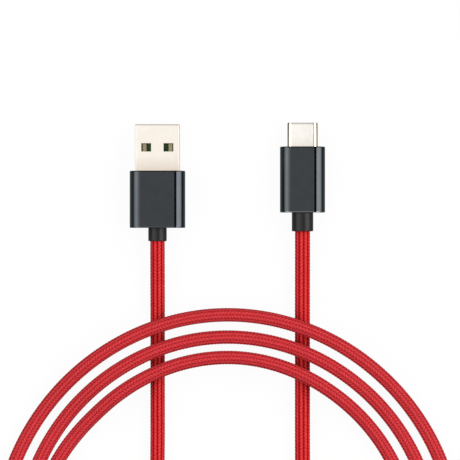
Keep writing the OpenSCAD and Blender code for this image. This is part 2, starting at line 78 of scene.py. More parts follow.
class Plug:
    """Where a plug's pieces lie, in millimetres, read from its CAD nodes."""

    def __init__(self, name):
        low, high = box_mm(name + "_housing")
        self.x = middle(low, high, 0)
        self.z = middle(low, high, 2)
        self.width = high[0] - low[0]
        self.height = high[2] - low[2]
        self.rear, self.front = low[1], high[1]
        shell_low, shell_high = box_mm(name + "_shell")
        self.tip = shell_high[1]
        self.shell_rear = shell_low[1]
        self.shell_width = shell_high[0] - shell_low[0]
        self.shell_height = shell_high[2] - shell_low[2]
        collar_low, collar_high = box_mm(name + "_collar")
        self.exit = collar_low[1]
        self.collar_front = collar_high[1]


USB_A = Plug("usb_a")
USB_C = Plug("usb_c")

# ---------------------------------------------------------------- camera

VIEW_WIDTH = 124.3
VIEW_CENTRE = (0.69, -12.98)
CAMERA_HEIGHT = 900.0
SENSOR = 36.0


def make_camera():
    """Straight down on both plugs and the far side of the coil."""
    data = bpy.data.cameras.new("camera")
    data.sensor_width = SENSOR
    plug_level = USB_A.z
    data.lens = SENSOR * (CAMERA_HEIGHT - plug_level) / VIEW_WIDTH
    data.clip_start = 0.05
    data.clip_end = 20.0
    camera = bpy.data.objects.new("camera", data)
    camera.location = (VIEW_CENTRE[0] * MM, VIEW_CENTRE[1] * MM, CAMERA_HEIGHT * MM)
    bpy.context.scene.collection.objects.link(camera)
    bpy.context.scene.camera = camera


# ---------------------------------------------------------------- material helpers


class Nodes:
    """Short names for building a material's node tree."""

    def __init__(self, name):
        self.material = bpy.data.materials.new(name)
        self.material.use_nodes = True
        self.tree = self.material.node_tree
        self.shader = self.tree.nodes["Principled BSDF"]

    @classmethod
    def for_tree(cls, tree):
        """The same helpers for a tree that isn't a material's."""
        made = cls.__new__(cls)
        made.tree = tree
        return made

    def add(self, kind, settings=None, **inputs):
        node = self.tree.nodes.new("ShaderNode" + kind)
        for key, value in (settings or {}).items():
            setattr(node, key, value)
        for key, value in inputs.items():
            self.feed(node.inputs[key.replace("_", " ")], value)
        return node

    def feed(self, socket, value):
        if isinstance(value, bpy.types.NodeSocket):
            self.tree.links.new(value, socket)
        else:
            socket.default_value = value

    def set(self, **inputs):
        for key, value in inputs.items():
            self.feed(self.shader.inputs[key.replace("_", " ")], value)

    def math(self, operation, a, b=0.0, clamp=False):
        node = self.add("Math", {"operation": operation, "use_clamp": clamp})
        self.feed(node.inputs[0], a)
        self.feed(node.inputs[1], b)
        return node.outputs[0]

    def place(self, scale=(1, 1, 1)):
        """Object coordinates in millimetres, times scale."""
        where = self.add("TexCoord").outputs["Object"]
        mapping = self.add("Mapping", Vector=where)
        mapping.inputs["Scale"].default_value = [s / MM for s in scale]
        return mapping.outputs["Vector"]

    def noise(self, vector, scale, detail=3.0, roughness=0.5):
        return self.add(
            "TexNoise", Vector=vector, Scale=scale, Detail=detail, Roughness=roughness
        ).outputs["Fac"]

    def blend(self, factor, a, b):
        node = self.add("Mix", {"data_type": "RGBA"})
        self.feed(node.inputs["Factor"], factor)
        self.feed(node.inputs["A"], (*a, 1) if isinstance(a, tuple) else a)
        self.feed(node.inputs["B"], (*b, 1) if isinstance(b, tuple) else b)
        return node.outputs["Result"]

    def range(self, value, low, high, to_low, to_high):
        node = self.add("MapRange")
        for socket, number in zip(node.inputs, (value, low, high, to_low, to_high)):
            self.feed(socket, number)
        return node.outputs["Result"]

    def attribute(self, name, output="Fac"):
        return self.add("Attribute", {"attribute_name": name}).outputs[output]

    def bump(self, height, strength, depth_mm):
        node = self.add("Bump", Height=height, Strength=strength)
        node.inputs["Distance"].default_value = depth_mm * MM
        self.feed(self.shader.inputs["Normal"], node.outputs["Normal"])


# ---------------------------------------------------------------- braid

# A 2-over-2 braid of 10 yarns each way: 10 columns of beads round the cord.
YARNS = 10
BEAD_PITCH = 0.9
YARN_STEPS = 3
PATH_STRIDE = 12
CREST_RADIUS = 1.98
WAVE_DEPTH = 0.14
WAVE_FULLNESS = 0.6
YARN_DEPTH = 0.13
YARN_ROUNDNESS = 2.0
COLUMN_SHARPNESS = 1.1
TIGHT_SHARPNESS = 0.45
TIGHT_FLATTENING = 0.2
TUCK = 0.8

# How far from either end the loose lead reaches, and over what length the braid tightens.
LEAD_LENGTH = 110
LEAD_BLEND = 60

# The columns creep round the cord to and fro, and stand turned near USB-C, in columns.
CREEP = 0.5
CREEP_LENGTH = 310
USB_C_CREEP = 0.23

# How much thinner the tight braid is, how much more where it runs sideways, and how much
# thicker it is near USB-C, as shares of its radius.
TIGHT_THINNING = 0.02
SIDEWAYS_THINNING = 0.04
USB_C_SWELL = 0.05

# How a yarn's painted shade follows its shape: the painted shade at its edges where the braid is
# loose and tight, the slant of its fibres, how far apart two yarns are in the noise, and how much
# painted sheen the tight braid takes.
LOOSE_EDGE = 0.3
TIGHT_EDGE = 0.1
FIBRE_SLANT = 0.35
YARN_SPREAD = 7.3
PAINTED_SHEEN_SHARE = 0.22

# Braid colours: painted shade in the grooves, two random tones of the yarn, a painted highlight
# along fibre streaks and a painted sheen on the tight coil.
BRAID_PAINTED_GROOVE_SHADE = (0.30, 0.0005, 0.0005)
BRAID_DULL = (0.50, 0.019, 0.021)
BRAID_RED = (0.595, 0.028, 0.030)
BRAID_PAINTED_HIGHLIGHT = (0.785, 0.082, 0.086)
BRAID_PAINTED_SHEEN = (0.20, 0.036, 0.054)

# ---------------------------------------------------------------- materials


def braid_material():
    """Glossy red nylon yarn, with painted shade in its grooves from where each point lies on its
    own yarn, a painted highlight along fibre streaks and a painted sheen where the braid is tight.
    """
    n = Nodes("braid_nylon")
    place = n.add("SeparateXYZ", Vector=n.attribute("braid", "Vector"))
    right, left, tight = place.outputs["X"], place.outputs["Y"], place.outputs["Z"]
    i, j = n.math("ROUND", right), n.math("ROUND", left)
    swing = n.math("COSINE", n.math("MULTIPLY", n.math("ADD", right, left), math.pi / 2))
    top = n.math("GREATER_THAN", swing, 0.0)

    def whichever(if_left, if_right):
        return n.range(top, 0, 1, if_left, if_right)

    across = whichever(n.math("SUBTRACT", left, j), n.math("SUBTRACT", right, i))
    along = whichever(right, left)
    squared = n.math("POWER", n.math("MULTIPLY", across, YARN_ROUNDNESS), 2.0)
    crown = n.math("SQRT", n.math("SUBTRACT", 1.0, squared, clamp=True))
    sharpness = n.range(tight, 0, 1, COLUMN_SHARPNESS, TIGHT_SHARPNESS)
    column = n.math("POWER", n.math("ABSOLUTE", swing), sharpness)
    shade_at_edge = n.range(tight, 0, 1, LOOSE_EDGE, TIGHT_EDGE)
    rise = n.math("MULTIPLY", n.range(crown, 0, 1, shade_at_edge, 1.0), column)

    slanted = n.math("ADD", across, n.math("MULTIPLY", along, FIBRE_SLANT))
    which_yarn = n.math("ADD", i, n.math("MULTIPLY", j, YARN_SPREAD))
    yarn = n.add("CombineXYZ", X=slanted, Y=along, Z=which_yarn)
    streaks = n.add("Mapping", Vector=yarn.outputs[0])
    streaks.inputs["Scale"].default_value = (11.0, 1.3, 1.0)
    fibres = n.noise(streaks.outputs[0], 1.0, 2.0)
    tone = n.noise(n.add("CombineXYZ", X=i, Y=j, Z=top).outputs[0], 0.83, 0.0)

    red = n.blend(n.range(tone, 0.3, 0.7, 0, 1), BRAID_DULL, BRAID_RED)
    # Painted highlight along the fibre streaks.
    with_highlight = n.blend(n.range(fibres, 0.3, 0.7, 0, 0.6), red, BRAID_PAINTED_HIGHLIGHT)
    # Painted shade in the grooves between the yarns.
    with_groove_shade = n.blend(n.range(rise, 0.25, 0.95, 0, 1), BRAID_PAINTED_GROOVE_SHADE, with_highlight)
    # Painted sheen where the braid is tight, in the coil.
    n.set(
        Base_Color=n.blend(n.math("MULTIPLY", tight, PAINTED_SHEEN_SHARE), with_groove_shade, BRAID_PAINTED_SHEEN),
        Roughness=n.range(rise, 0.2, 0.9, 0.8, 0.36),
        Specular_IOR_Level=0.14,
        Specular_Tint=(1.0, 0.25, 0.25, 1),
    )
    n.bump(fibres, 0.5, 0.04)
    return n.material


# Painted light on the anodised sleeve: a highlight on the rear chamfer, nearly black shade on the
# front lip and a teal dark reflection on the narrow sides.
ALUMINIUM_PAINTED_HIGHLIGHT = (0.30, 0.31, 0.33)
SHADED_LIP = (0.004, 0.004, 0.005)
ALUMINIUM_PAINTED_SIDE_REFLECTION = (0.036, 0.055, 0.058)


def anodised_material():
    """Dark bead-blasted aluminium. Its edges take a painted highlight where their edge mark is
    above 0, on the rear chamfer, and painted shade, nearly black, where it is below, on the front
    lip. Its narrow sides take a painted dark reflection."""
    n = Nodes("anodised_aluminium")
    grain = n.noise(n.place(), 14.0, 3.0)
    cloud = n.noise(n.place(), 0.35, 2.0)
    edge = n.attribute("edge")
    clouded = n.range(cloud, 0.35, 0.65, 0, 1)
    body = n.blend(clouded, (0.043, 0.048, 0.053), (0.049, 0.054, 0.059))
    speckled = n.blend(n.range(grain, 0.3, 0.7, 0, 0.5), body, (0.056, 0.061, 0.065))
    # Painted dark reflection on the narrow sides.
    sided = n.blend(n.attribute("side"), speckled, ALUMINIUM_PAINTED_SIDE_REFLECTION)
    # Painted highlight on the rear chamfer.
    painted_highlight = n.blend(n.math("MULTIPLY", edge, 0.8, clamp=True), sided, ALUMINIUM_PAINTED_HIGHLIGHT)
    # Painted shade on the front lip, where the edge mark is below 0.
    n.set(
        Base_Color=n.blend(n.math("MULTIPLY", edge, -0.9, clamp=True), painted_highlight, SHADED_LIP),
        Metallic=1.0,
        Roughness=n.range(grain, 0.3, 0.7, 0.09, 0.14),
    )
    n.bump(grain, 0.04, 0.008)
    return n.material


# A darker gold-brown for a stain in front of the housing, the rolled lip and painted shade round
# the shell's corners.
BRASS_STAIN_AND_SHADE = (0.46, 0.33, 0.21)


def gilt_material(name, light, dark, line, side):
    """Gold plating over drawn steel: faint lines along the plug, and a darker gold-brown where the
    edge attribute says so: a stain in front of the housing, the rolled lip, and painted shade
    round the corners. Round the corners the side colour adds more painted shade."""
    n = Nodes(name)
    lines = n.noise(n.place((6.0, 0.25, 6.0)), 1.0, 4.0, 0.6)
    cloud = n.noise(n.place(), 0.4, 2.0)
    gilt = n.blend(n.range(cloud, 0.35, 0.65, 0, 1), dark, light)
    lined = n.blend(n.range(lines, 0.35, 0.75, 0, 0.3), gilt, line)
    stain_and_shade = n.blend(n.attribute("edge"), lined, BRASS_STAIN_AND_SHADE)
    n.set(
        Base_Color=n.blend(n.attribute("side"), stain_and_shade, side),
        Metallic=1.0,
        Roughness=n.range(lines, 0.3, 0.7, 0.11, 0.18),
    )
    n.bump(lines, 0.03, 0.008)
    return n.material


def metal_material(name, light, dark, rough_low, rough_high):
    """Plated or plain metal with fine rolling lines."""
    n = Nodes(name)
    lines = n.noise(n.place((8.0, 0.6, 8.0)), 1.0, 3.0, 0.6)
    n.set(
        Base_Color=n.blend(n.range(lines, 0.3, 0.7, 0, 1), dark, light),
        Metallic=1.0,
        Roughness=n.range(lines, 0.3, 0.7, rough_low, rough_high),
    )
    n.bump(lines, 0.1, 0.015)
    return n.material


def plastic_material(name, light, dark, roughness, scale=6.0, depth_mm=0.02, shine=0.5):
    """Moulded plastic with the fine grain of its mould."""
    n = Nodes(name)
    grain = n.noise(n.place(), scale, 4.0, 0.6)
    flow = n.noise(n.place((0.4, 1.2, 0.4)), 0.8, 2.0)
    mixed = n.math("ADD", grain, flow)
    n.set(
        Base_Color=n.blend(n.range(mixed, 0.7, 1.3, 0, 1), dark, light),
        Roughness=n.range(grain, 0.3, 0.7, roughness - 0.06, roughness + 0.06),
        Specular_IOR_Level=shine,
    )
    n.bump(grain, 0.25, depth_mm)
    return n.material


def board_material():
    """Green solder mask with copper tracks showing through and a glass-fibre weave."""
    n = Nodes("circuit_board_mask")
    where = n.place()
    tracks = n.add(
        "TexBrick", {"offset": 0.5}, Vector=where, Scale=0.7, Mortar_Size=0.08, Mortar_Smooth=0.2
    ).outputs["Fac"]
    weave = n.noise(where, 9.0, 2.0)
    mask = n.blend(n.range(weave, 0.3, 0.7, 0, 1), (0.012, 0.11, 0.045), (0.02, 0.16, 0.07))
    n.set(
        Base_Color=n.blend(tracks, mask, (0.07, 0.26, 0.11)),
        Roughness=n.range(weave, 0.3, 0.7, 0.25, 0.4),
    )
    n.bump(tracks, 0.3, 0.03)
    return n.material


def floor_material():
    """Plain white paper."""
    n = Nodes("white_paper")
    fibre = n.noise(n.place((0.1, 0.1, 0.1)), 1.0, 3.0)
    darker, lighter = (0.043, 0.043, 0.043), (0.048, 0.048, 0.048)
    n.set(
        Base_Color=n.blend(n.range(fibre, 0.3, 0.7, 0, 1), darker, lighter),
        Roughness=0.9,
        Specular_IOR_Level=0.0,
        Emission_Color=(1, 1, 1, 1),
        Emission_Strength=0.94,
    )
    return n.material


MATERIALS = {
    "shell_metal": gilt_material(
        "pale_gilt",
        light=(0.96, 0.90, 0.82),
        dark=(0.94, 0.870, 0.785),
        line=(0.92, 0.84, 0.73),
        # Painted shade round the shell's corners.
        side=(0.21, 0.20, 0.185),
    ),
    "contact_metal": metal_material(
        "gold_plating", (0.43, 0.37, 0.235), (0.33, 0.27, 0.17), 0.2, 0.32
    ),
    "spring_steel": metal_material(
        "spring_steel", (0.66, 0.66, 0.65), (0.56, 0.56, 0.56), 0.22, 0.36
    ),
    "crimp_steel": metal_material(
        "crimp_steel", (0.64, 0.64, 0.64), (0.52, 0.52, 0.53), 0.28, 0.42
    ),
    "solder": metal_material("solder", (0.74, 0.74, 0.72), (0.62, 0.62, 0.61), 0.12, 0.25),
    "housing_aluminium": anodised_material(),
    "green_plastic": plastic_material(
        "green_plastic", (0.053, 0.118, 0.026), (0.043, 0.100, 0.020), 0.42, shine=0.2
    ),
    "black_plastic": plastic_material(
        "black_plastic", (0.020, 0.020, 0.022), (0.012, 0.012, 0.013), 0.45
    ),
    "mould_plastic": plastic_material(
        "mould_plastic", (0.72, 0.71, 0.67), (0.64, 0.63, 0.59), 0.5
    ),
    "collar_rubber": plastic_material(
        "collar_rubber", (0.011, 0.011, 0.0115), (0.009, 0.009, 0.0095), 0.35, 10.0, 0.02, 0.22
    ),
    "inner_jacket": plastic_material(
        "inner_jacket", (0.030, 0.030, 0.031), (0.02, 0.02, 0.02), 0.55
    ),
    "wire_red": plastic_material("wire_red", (0.6, 0.02, 0.02), (0.5, 0.012, 0.012), 0.35),
    "wire_white": plastic_material("wire_white", (0.8, 0.8, 0.78), (0.7, 0.7, 0.68), 0.35),
    "wire_green": plastic_material("wire_green", (0.02, 0.33, 0.08), (0.012, 0.25, 0.06), 0.35),
    "wire_black": plastic_material("wire_black", (0.02, 0.02, 0.02), (0.012, 0.012, 0.012), 0.35),
    "circuit_board": board_material(),
    "cord_braid": braid_material(),
}


def dress_cad_nodes():
    """Every CAD node that stays gets the procedural material of its record slot."""
    for part in frame["record"]["subparts"]:
        node = bpy.data.objects[part["node"]]
        for place in node.material_slots:
            place.link = "OBJECT"
            place.material = MATERIALS[part["material_slot"]]


# ---------------------------------------------------------------- cord

CORD_DIAMETER = 3.8
CORD_RADIUS = CORD_DIAMETER / 2
CROSS_LIFT = CORD_DIAMETER + 0.2
CROSS_HEIGHT = CORD_RADIUS + CROSS_LIFT
COIL_CENTRE = (0.1, -97.7)
COIL_RADIUS = 49.8
COIL_STEPS = (5.9, 6.0)
COIL_RIGHT_SWELL = 0.4
COIL_LEFT_SWELL = 1.3
COIL_WAVER = 0.2
COIL_FLATTENING = 17.0
COIL_START = -80
COIL_END = 960
COIL_STRIDE = 8

# Between which angles the coil changes, in degrees. The first five are angles that go on
# growing from turn to turn, and the others are the same in every turn.
RIGHT_SWELL_AT = (50, 90)
LEFT_SWELL_AT = (132, 164)
FIRST_STEP_AT = (190, 340)
SECOND_STEP_AT = (550, 700)
LAST_CLIMB_AT = (900, 955)
CLIMB_AT = (30, 58)
DESCENT_AT = (120, 148)
SHOULDERS_START_AT = (5, 25)
SHOULDERS_END_AT = (155, 175)

LEAD_A = [
    (USB_A.x, USB_A.exit, USB_A.z),
    (USB_A.x, USB_A.exit - 4, USB_A.z),
    (USB_A.x, -27, 2.9),
    (USB_A.x, -35, CORD_RADIUS),
    (USB_A.x, -67, CORD_RADIUS),
    (USB_A.x, -100, CORD_RADIUS),
    (-18, -107.5, CORD_RADIUS),
    (-16, -115, CORD_RADIUS),
    (-12, -121.5, CORD_RADIUS),
    (-6, -126.5, CORD_RADIUS),
    (1, -129.5, CORD_RADIUS),
]
LEAD_C = [
    (-24.5, -138.5, CROSS_HEIGHT),
    (-17.5, -139.5, CROSS_HEIGHT),
    (-10.5, -139.25, CROSS_HEIGHT),
    (-4, -137.5, CROSS_HEIGHT),
    (2, -134.5, CROSS_HEIGHT),
    (7.5, -130.25, CROSS_HEIGHT),
    (12, -125.25, CROSS_HEIGHT),
    (15.5, -119.5, 5),
    (18, -113.5, 3.3),
    (19.75, -107, 2.2),
    (USB_C.x, -100, CORD_RADIUS),
    (USB_C.x, -67, CORD_RADIUS),
    (USB_C.x, -35, CORD_RADIUS),
    (USB_C.x, -26, 2.6),
    (USB_C.x, USB_C.exit - 4, USB_C.z),
    (USB_C.x, USB_C.exit, USB_C.z),
]


def ramp(value, low, high):
    """0 below low, 1 above high and a smooth rise between them."""
    t = min(max((value - low) / (high - low), 0.0), 1.0)
    return t * t * (3 - 2 * t)


def shoulders(turned):
    """The far side of every turn swells in the middle and draws in at its two shoulders."""
    wave = math.cos(math.radians(4 * (turned - 90))) - 0.25
    return wave * ramp(turned, *SHOULDERS_START_AT) * (1 - ramp(turned, *SHOULDERS_END_AT))


def coil_point(angle):
    """A point of the coil, at an angle that goes on growing from turn to turn."""
    turned = angle % 360
    rest_of_step = COIL_STEPS[0] - COIL_RIGHT_SWELL - COIL_LEFT_SWELL
    radius = (
        COIL_RADIUS
        + COIL_RIGHT_SWELL * ramp(angle, *RIGHT_SWELL_AT)
        + COIL_LEFT_SWELL * ramp(angle, *LEFT_SWELL_AT)
        + rest_of_step * ramp(angle, *FIRST_STEP_AT)
        + COIL_STEPS[1] * ramp(angle, *SECOND_STEP_AT)
        + COIL_WAVER * shoulders(turned)
    )
    crossing = ramp(turned, *CLIMB_AT) * (1 - ramp(turned, *DESCENT_AT))
    lift = crossing + ramp(angle, *LAST_CLIMB_AT)
    across, along = math.cos(math.radians(angle)), math.sin(math.radians(angle))
    depth = radius if along > 0 else radius - COIL_FLATTENING
    return (
        COIL_CENTRE[0] + radius * across,
        COIL_CENTRE[1] + depth * along,
        CORD_RADIUS + CROSS_LIFT * lift,
    )


def smooth_line(points, per_span=24):
    """Centripetal Catmull-Rom curve through the points."""
    p = np.array(points, float)
    p = np.vstack([2 * p[0] - p[1], p, 2 * p[-1] - p[-2]])
    out = []
    for i in range(1, len(p) - 2):
        a, b, c, d = p[i - 1], p[i], p[i + 1], p[i + 2]
        ta = 0.0
        tb = ta + math.sqrt(np.linalg.norm(b - a))
        tc = tb + math.sqrt(np.linalg.norm(c - b))
        td = tc + math.sqrt(np.linalg.norm(d - c))
        t = np.linspace(tb, tc, per_span, endpoint=False)[:, None]
        ab = (tb - t) / (tb - ta) * a + (t - ta) / (tb - ta) * b
        bc = (tc - t) / (tc - tb) * b + (t - tb) / (tc - tb) * c
        cd = (td - t) / (td - tc) * c + (t - tc) / (td - tc) * d
        abc = (tc - t) / (tc - ta) * ab + (t - ta) / (tc - ta) * bc
        bcd = (td - t) / (td - tb) * bc + (t - tb) / (td - tb) * cd
        out.append((tc - t) / (tc - tb) * abc + (t - tb) / (tc - tb) * bcd)
    return np.vstack([*out, p[-2][None]])


def even_steps(line, step):
    """The same line with points an even distance apart, and the line's length."""
    gone = np.r_[0, np.cumsum(np.linalg.norm(np.diff(line, axis=0), axis=1))]
    count = int(round(gone[-1] / step))
    at = np.linspace(0, gone[-1], count + 1)
    return np.stack([np.interp(at, gone, line[:, k]) for k in range(3)], axis=1), gone[-1]


def braid_depth(right, left):
    """Depth of the braid's surface below its crests. In even columns the right-hand yarns lie
    on top and in odd ones the left-hand yarns, and both dive into the valleys between."""
    swing = np.cos(math.pi * (right + left) / 2)
    on_top = np.where(swing > 0, right, left)
    across = on_top - np.floor(on_top + 0.5)
    crown = np.sqrt(np.clip(1 - (YARN_ROUNDNESS * across) ** 2, 0, 1))
    rise = WAVE_DEPTH * np.abs(swing) ** WAVE_FULLNESS + YARN_DEPTH * crown
    return WAVE_DEPTH + YARN_DEPTH - rise


def tightness(gone, length):
    """0 along both leads and 1 in the coil, where the braid is drawn tight."""
    from_ends = np.minimum(gone, length - gone)
    return np.clip((from_ends - LEAD_LENGTH) / LEAD_BLEND, 0, 1)


def nearness_to_usb_c(gone, length):
    """1 along the lead of USB-C and 0 before it."""
    return np.clip((gone - length + LEAD_LENGTH + LEAD_BLEND) / LEAD_BLEND, 0, 1)


def braid_twist(gone, length):
    """How far the columns have crept round the cord, in columns, at a distance along it."""
    creep = CREEP * np.sin(2 * math.pi * gone / CREEP_LENGTH)
    return creep * tightness(gone, length) - USB_C_CREEP * nearness_to_usb_c(gone, length)


def braid_swell(gone, length, sideways):
    """The braid's radius as a share of its usual one: less where it is tight, most of all
    where its turns run sideways, and more at USB-C."""
    drawn = TIGHT_THINNING + SIDEWAYS_THINNING * sideways**4
    return 1 - drawn * tightness(gone, length) + USB_C_SWELL * nearness_to_usb_c(gone, length)


def make_cord():
    """The whole braided cord as one tube, with its yarns raised on it."""
    turns = [coil_point(a) for a in range(COIL_START, COIL_END + 1, COIL_STRIDE)]
    route = smooth_line([*LEAD_A, *turns, *LEAD_C])
    route[:, 2] = np.maximum(route[:, 2], CORD_RADIUS)
    line, length = even_steps(route, BEAD_PITCH / (2 * YARN_STEPS))
    step = length / (len(line) - 1)
    # The braid goes on a little way into both strain reliefs.
    tucked = int(round(TUCK / step))
    head = [line[0] + (line[0] - line[1]) * k for k in range(tucked, 0, -1)]
    tail = [line[-1] + (line[-1] - line[-2]) * k for k in range(1, tucked + 1)]
    centre = np.vstack([head, line, tail])
    forward = np.gradient(centre, axis=0)
    forward /= np.linalg.norm(forward, axis=1)[:, None]
    side = np.cross(forward, [0, 0, 1])
    side /= np.linalg.norm(side, axis=1)[:, None]
    up = np.cross(side, forward)

    # Each row of points lies half a point further round than the last, so the
    # faces are diamonds whose edges run along the yarns.
    rows, count = len(centre), YARNS * YARN_STEPS
    row = np.arange(rows)[:, None]
    place = 2 * np.arange(count)[None, :] + row % 2
    turn = 0.5 + place / (2 * YARN_STEPS)
    travel = row / (2 * YARN_STEPS) + 0 * place
    gone = row * step
    tight = tightness(gone, length)
    around = 2 * math.pi * (turn + braid_twist(gone, length)) / YARNS
    depth = braid_depth(turn - travel, turn + travel) * (1 - TIGHT_FLATTENING * tight)
    radius = CREST_RADIUS * braid_swell(gone, length, np.abs(forward[:, :1])) - depth
    out = (
        np.cos(around)[..., None] * side[:, None, :] + np.sin(around)[..., None] * up[:, None, :]
    )
    points = (centre[:, None, :] + radius[..., None] * out) * MM

    r, k = np.meshgrid(np.arange(rows - 2), np.arange(count), indexing="ij")
    before = (k - 1 + r % 2) % count
    after = (k + r % 2) % count
    quads = np.stack(
        [r * count + k, (r + 1) * count + before, (r + 2) * count + k, (r + 1) * count + after],
        axis=-1,
    ).reshape(-1, 4)
    near = np.stack([np.arange(count), count + np.arange(count)], axis=1).ravel()
    last = rows - 1
    far = np.stack(
        [
            last * count + np.arange(count),
            (last - 1) * count + (np.arange(count) + last % 2) % count,
        ],
        axis=1,
    ).ravel()
    caps = np.r_[near[::-1], far]

    mesh = bpy.data.meshes.new("braided_cord")
    corners = np.r_[quads.ravel(), caps].astype(np.int32)
    starts = np.r_[np.arange(len(quads)) * 4, len(quads) * 4 + np.arange(2) * 2 * count]
    mesh.vertices.add(rows * count)
    mesh.vertices.foreach_set("co", points.astype(np.float32).ravel())
    mesh.loops.add(len(corners))
    mesh.loops.foreach_set("vertex_index", corners)
    mesh.polygons.add(len(starts))
    mesh.polygons.foreach_set("loop_start", starts.astype(np.int32))
    mesh.polygons.foreach_set("use_smooth", np.ones(len(starts), bool))
    mesh.update(calc_edges=True)

    # How far each face corner has gone across the right-hand and left-hand yarns, and how
    # tight the braid is there.
    corner_place = (2 * k + r % 2)[..., None] + np.array([0, -1, 0, 1])
    corner_row = r[..., None] + np.array([0, 1, 2, 1])
    corner_turn = 0.5 + corner_place / (2 * YARN_STEPS)
    corner_travel = corner_row / (2 * YARN_STEPS)
    braid = np.zeros((len(corners), 3), np.float32)
    braid[: quads.size, 0] = (corner_turn - corner_travel).ravel()
    braid[: quads.size, 1] = (corner_turn + corner_travel).ravel()
    braid[: quads.size, 2] = tightness(corner_row * step, length).ravel()
    mesh.attributes.new("braid", "FLOAT_VECTOR", "CORNER").data.foreach_set(
        "vector", braid.ravel()
    )
    mesh.materials.append(MATERIALS["cord_braid"])

    cord = bpy.data.objects.new("braided_cord", mesh)
    bpy.context.scene.collection.objects.link(cord)
    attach(cord, ROOT)
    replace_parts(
        cord,
        "cord_lead_usb_a",
        "cord_turn_inner",
        "cord_turn_middle",
        "cord_turn_outer",
        "cord_lead_usb_c",
    )
    path = [tuple(p * MM for p in point) for point in line[::PATH_STRIDE]]
    path.append(tuple(p * MM for p in line[-1]))


# ---------------------------------------------------------------- lofted rigid pieces

LOFT_SIDES = 96
PER_CORNER = LOFT_SIDES // 4
SHARP_ANGLE = 28


def outline_angle(corner, k):
    """The direction, in radians, in which point k of an outline's corner faces."""
    return math.radians(90 * corner + 90 * k / (PER_CORNER - 1))


def rounded_outline(width, height, radius):
    """Outline of a rounded rectangle, with its points where the curve needs them."""
    radius = min(radius, width / 2, height / 2)
    points = []
    for corner in range(4):
        sx = 1 if corner in (0, 3) else -1
        sz = 1 if corner in (0, 1) else -1
        cx, cz = sx * (width / 2 - radius), sz * (height / 2 - radius)
        for k in range(PER_CORNER):
            a = outline_angle(corner, k)
            points.append((cx + radius * math.cos(a), cz + radius * math.sin(a)))
    return points


def circle(radius):
    return rounded_outline(2 * radius, 2 * radius, radius)


def facing_sideways(k):
    """How far a point of an outline faces along X, from 0 on its broad sides to 1."""
    return abs(math.cos(outline_angle(*divmod(k, PER_CORNER))))


def loft(name, stations, centre, material, side=(0.0,) * LOFT_SIDES):
    """Closed skin through outlines along Y. Each station is (y, outline, edge mark), where the
    mark is one number or one for each point of the outline; the materials turn it into painted
    highlight and shade, and on the shells also into a stain. Side is how far each point takes the
    material's side colour, a painted reflection on the housings and painted shade on the shells."""
    shape = bmesh.new()
    edge_layer = shape.verts.layers.float.new("edge")
    side_layer = shape.verts.layers.float.new("side")
    rings = []
    for y, outline, edge_mark in stations:
        ring = []
        for k, (x, z) in enumerate(outline):
            vert = shape.verts.new(((centre[0] + x) * MM, y * MM, (centre[1] + z) * MM))
            vert[edge_layer] = edge_mark[k] if isinstance(edge_mark, list) else edge_mark
            vert[side_layer] = side[k]
            ring.append(vert)
        rings.append(ring)
    count = len(rings[0])
    for i, ring in enumerate(rings):
        following = rings[(i + 1) % len(rings)]
        for k in range(count):
            after = (k + 1) % count
            shape.faces.new((ring[k], ring[after], following[after], following[k]))
    bmesh.ops.remove_doubles(shape, verts=shape.verts, dist=1e-7)
    bmesh.ops.recalc_face_normals(shape, faces=shape.faces)
    mesh = bpy.data.meshes.new(name)
    shape.to_mesh(mesh)
    shape.free()
    mesh.materials.append(material)
    piece = bpy.data.objects.new(name, mesh)
    bpy.context.scene.collection.objects.link(piece)
    smooth_by_angle(piece, SHARP_ANGLE)
    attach(piece, ROOT)
    return piece


def smooth_by_angle(piece, degrees):
    """Smooth shading, with sharp edges where faces meet at more than that angle."""
    mesh = piece.data
    for face in mesh.polygons:
        face.use_smooth = True
    shape = bmesh.new()
    shape.from_mesh(mesh)
    for edge in shape.edges:
        if len(edge.link_faces) == 2:
            edge.smooth = edge.calc_face_angle(0) < math.radians(degrees)
    shape.to_mesh(mesh)
    shape.free()


def rounded_edge(y, outline_at, radius, edge_mark, steps=5):
    """Stations round an edge: a quarter circle from the side at y - radius to the face at y."""
    made = []
    for k in range(steps + 1):
        a = math.radians(90 * k / steps)
        inset = radius * (1 - math.cos(a))
        made.append((y - radius * (1 - math.sin(a)), outline_at(inset), edge_mark))
    return made


HOUSING_CORNER = 3.1
HOUSING_WALL = 0.7
REAR_WALL = 1.0
HOLE_RADIUS = 2.25
CHAMFER = 0.10
CHAMFER_REACH = 0.26
CHAMFER_SOFTNESS = 0.05
FRONT_LIP = 0.26
INNER_CHAMFER = 0.1
# Rings this close to an edge keep its slant out of the shading of the long faces.
GUARD = 0.06
NARROW_GUARD = 0.04
GUARD_INSET = 0.008


def narrow_side_mask(start=0.05, full=0.75):
    """A mask for each point of an outline, used for painted shade and reflections: none on its
    broad sides, most on its narrow ones.
    """
    return [ramp(facing_sideways(k), start, full) for k in range(LOFT_SIDES)]


